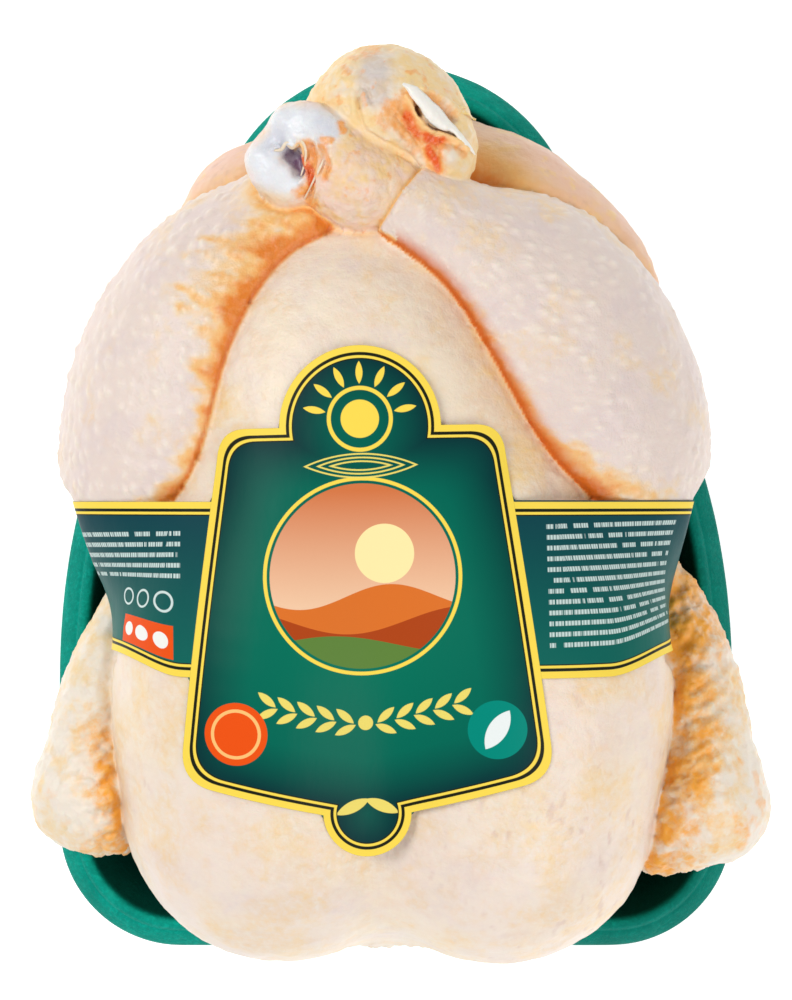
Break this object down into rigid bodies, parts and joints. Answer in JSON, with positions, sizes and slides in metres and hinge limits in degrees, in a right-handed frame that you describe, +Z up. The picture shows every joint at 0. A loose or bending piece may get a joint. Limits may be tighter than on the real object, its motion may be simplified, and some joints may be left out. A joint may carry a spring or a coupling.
{
  "type": "whole raw chicken in a foam tray with a printed band",
  "caption": "Dressed raw chicken on its back with crossed hocks and folded wings, in a foam tray that narrows to the tail end, with a printed film band round its middle.",
  "frame": {"origin": "on the tray's flat underside, below the middle of the breast", "axes": "+Z up; +Y along the pack to the tail end, where the hocks cross; -Y to the neck end"},
  "size_m": [0.2174, 0.267, 0.1161],
  "materials": {
    "skin": "moist raw poultry skin, pale cream to pink, with orange fat in the creases",
    "film": "printed film, satin gloss, green with a yellow and black border",
    "foam": "fine-grained foam, matte, emerald green"
  },
  "bodies": {
    "root": {"chicken": "skin", "printed_band": "film", "foam_tray": "foam"}
  },
  "joints": []
}
